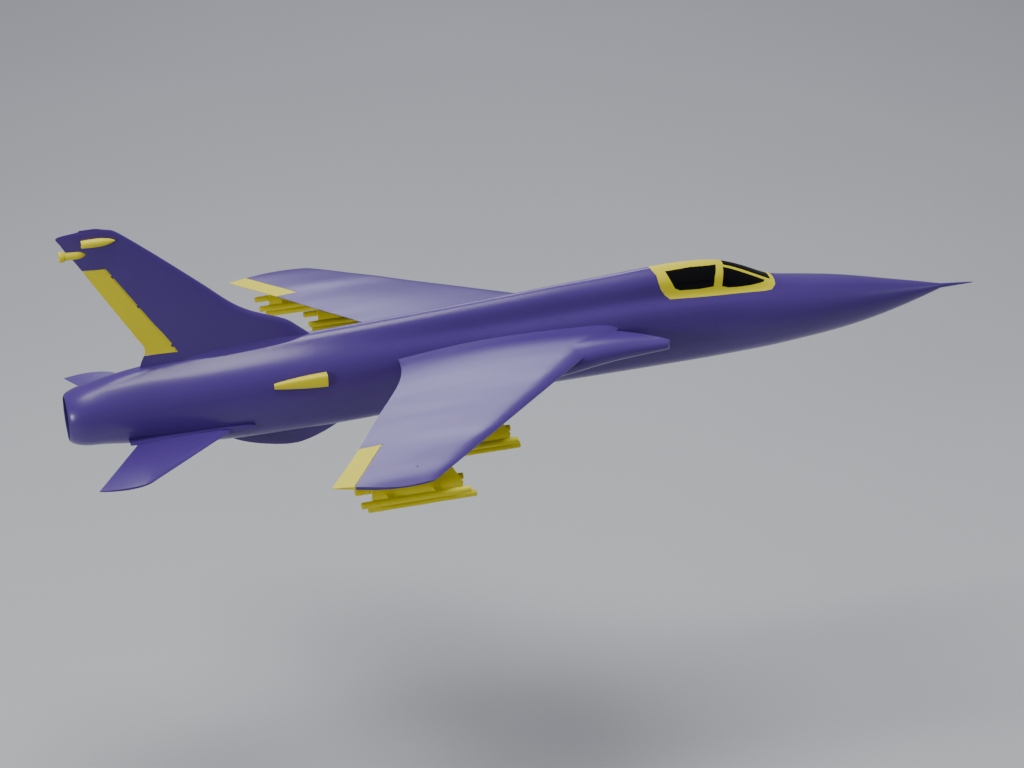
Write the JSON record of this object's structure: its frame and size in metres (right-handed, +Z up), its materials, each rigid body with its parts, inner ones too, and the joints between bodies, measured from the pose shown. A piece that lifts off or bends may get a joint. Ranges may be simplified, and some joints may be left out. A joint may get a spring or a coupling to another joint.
{
  "type": "rc jet plane",
  "caption": "Radio-controlled ducted-fan swept-wing jet with hinged control surfaces, servo linkages, lift-off canopy, fan unit and a belly socket for a display pole.",
  "frame": {"origin": "centre of the stand socket's mouth in the belly, on the plane of symmetry", "axes": "+X forward along the fuselage, +Y to port, +Z up; the stand pole leaves along -Z"},
  "size_m": [1.4022, 0.7638, 0.3706],
  "materials": {
    "hull_paint": "smooth purple-blue paint, satin gloss",
    "yellow_paint": "satin yellow paint",
    "canopy_black": "opaque gloss black glazing",
    "birch_ply": "light birch plywood",
    "steel": "bright steel",
    "brass": "turned brass",
    "carbon": "carbon-fibre tube and laminate",
    "glass_fibre": "pale glass-fibre laminate",
    "black_nylon": "moulded black nylon",
    "white_nylon": "moulded white nylon",
    "aluminium": "anodised aluminium",
    "battery_wrap": "shrink-wrapped cell pack",
    "strap": "hook-and-loop webbing"
  },
  "bodies": {
    "airframe": {"nose_cone": "hull_paint", "pitot_probe": "hull_paint", "forward_fuselage": "hull_paint", "centre_fuselage": "hull_paint", "rear_fuselage": "hull_paint", "exhaust_nozzle": "hull_paint", "plywood_formers": "birch_ply", "tail_formers": "birch_ply", "plywood_bearers": "birch_ply", "bay_magnets": "steel", "battery_pack": "battery_wrap", "battery_strap": "strap", "speed_controller": "aluminium", "receiver": "black_nylon", "stand_socket": "black_nylon", "spar_tubes": "carbon", "wing_bolts": "white_nylon", "fan_housing": "black_nylon", "motor": "aluminium", "motor_tail_cone": "aluminium", "thrust_tube": "glass_fibre", "fin": "hull_paint", "ventral_fin": "hull_paint", "fin_pods": "yellow_paint", "side_scoops": "yellow_paint", "stab_root_fairings": "hull_paint", "stab_bearings": "brass", "wing_left": "hull_paint", "wing_right": "hull_paint", "intake_fairings": "hull_paint", "intake_ducts": "glass_fibre", "store_pylons": "yellow_paint", "dummy_tubes": "yellow_paint", "hinge_knuckles": "hull_paint", "hinge_pins": "steel", "servos": "black_nylon"},
    "canopy": {"canopy_frame": "yellow_paint", "canopy_panes": "canopy_black", "hatch_tray": "birch_ply", "hatch_magnets": "steel"},
    "fan": {"fan_rotor": "black_nylon", "spinner": "aluminium"},
    "rudder": {"rudder": "yellow_paint", "rudder_horn": "white_nylon"},
    "rudder_arm": {"rudder_servo_arm": "white_nylon"},
    "rudder_rod": {"rudder_pushrod": "steel"},
    "elevator_arm": {"elevator_servo_arm": "white_nylon"},
    "elevator_rod": {"elevator_pushrod": "steel"},
    "aileron_left": {"aileron_left": "yellow_paint", "aileron_horn_left": "white_nylon"},
    "aileron_left_arm": {"aileron_servo_arm_left": "white_nylon"},
    "aileron_left_rod": {"aileron_pushrod_left": "steel"},
    "stabilator_left": {"stabilator_left": "hull_paint", "stab_drive_left": "steel"},
    "aileron_right": {"aileron_right": "yellow_paint", "aileron_horn_right": "white_nylon"},
    "aileron_right_arm": {"aileron_servo_arm_right": "white_nylon"},
    "aileron_right_rod": {"aileron_pushrod_right": "steel"},
    "stabilator_right": {"stabilator_right": "hull_paint", "stab_drive_right": "steel"}
  },
  "joints": [
    {"name": "aileron_left_hinge", "type": "hinge", "parent": "airframe", "child": "aileron_left", "pos_m": [-0.31286, 0.27071, 0.06585], "axis": [0.5418, -0.8389, 0.0512], "range_deg": [-20, 20]},
    {"name": "aileron_left_servo", "type": "hinge", "parent": "airframe", "child": "aileron_left_arm", "pos_m": [-0.29245, 0.31653, 0.06154], "axis": [0.5411, -0.8409, 0], "range_deg": [-20, 20]},
    {"name": "aileron_left_link", "type": "hinge", "parent": "aileron_left_arm", "child": "aileron_left_rod", "pos_m": [-0.29245, 0.31653, 0.04954], "axis": [0.5411, -0.8409, 0], "range_deg": [-20, 20]},
    {"name": "aileron_right_hinge", "type": "hinge", "parent": "airframe", "child": "aileron_right", "pos_m": [-0.31286, -0.27071, 0.06585], "axis": [-0.5418, -0.8389, -0.0512], "range_deg": [-20, 20]},
    {"name": "aileron_right_servo", "type": "hinge", "parent": "airframe", "child": "aileron_right_arm", "pos_m": [-0.29245, -0.31653, 0.06154], "axis": [-0.5411, -0.8409, 0], "range_deg": [-20, 20]},
    {"name": "aileron_right_link", "type": "hinge", "parent": "aileron_right_arm", "child": "aileron_right_rod", "pos_m": [-0.29245, -0.31653, 0.04954], "axis": [-0.5411, -0.8409, 0], "range_deg": [-20, 20]},
    {"name": "rudder_hinge", "type": "hinge", "parent": "airframe", "child": "rudder", "pos_m": [-0.54, 0, 0.1225], "axis": [-0.5389, 0, 0.8424], "range_deg": [-25, 25]},
    {"name": "rudder_servo", "type": "hinge", "parent": "airframe", "child": "rudder_arm", "pos_m": [-0.53318, 0.0003, 0.18606], "axis": [-0.5389, 0, 0.8424], "range_deg": [-25, 25]},
    {"name": "rudder_link", "type": "hinge", "parent": "rudder_arm", "child": "rudder_rod", "pos_m": [-0.53318, 0.0123, 0.18606], "axis": [-0.5389, 0, 0.8424], "range_deg": [-25, 25]},
    {"name": "stabilator_left_pivot", "type": "hinge", "parent": "airframe", "child": "stabilator_left", "pos_m": [-0.55143, 0.04286, 0.01464], "axis": [0, 1, 0], "range_deg": [-15, 15]},
    {"name": "stabilator_right_pivot", "type": "hinge", "parent": "airframe", "child": "stabilator_right", "pos_m": [-0.55143, -0.04286, 0.01464], "axis": [0, 1, 0], "range_deg": [-15, 15]},
    {"name": "elevator_servo", "type": "hinge", "parent": "airframe", "child": "elevator_arm", "pos_m": [-0.455, 0, -0.00036], "axis": [0, 1, 0], "range_deg": [-15, 15]},
    {"name": "elevator_link", "type": "hinge", "parent": "elevator_arm", "child": "elevator_rod", "pos_m": [-0.455, 0, -0.01236], "axis": [0, 1, 0], "range_deg": [-15, 15]},
    {"name": "fan_spin", "type": "hinge", "parent": "airframe", "child": "fan", "pos_m": [-0.22071, 0, 0.03536], "axis": [1, 0, 0], "continuous": true},
    {"name": "canopy_lift", "type": "slide", "parent": "airframe", "child": "canopy", "axis": [0, 0, 1], "range_m": [0, 0.08]}
  ],
  "couplings": [
    {"joint": "aileron_left_servo", "follows": "aileron_left_hinge", "ratio": 1},
    {"joint": "aileron_left_link", "follows": "aileron_left_hinge", "ratio": -1},
    {"joint": "aileron_right_hinge", "follows": "aileron_left_hinge", "ratio": -1},
    {"joint": "aileron_right_servo", "follows": "aileron_left_hinge", "ratio": -1},
    {"joint": "aileron_right_link", "follows": "aileron_left_hinge", "ratio": 1},
    {"joint": "rudder_servo", "follows": "rudder_hinge", "ratio": 1},
    {"joint": "rudder_link", "follows": "rudder_hinge", "ratio": -1},
    {"joint": "stabilator_right_pivot", "follows": "stabilator_left_pivot", "ratio": 1},
    {"joint": "elevator_servo", "follows": "stabilator_left_pivot", "ratio": 1},
    {"joint": "elevator_link", "follows": "stabilator_left_pivot", "ratio": -1}
  ]
}
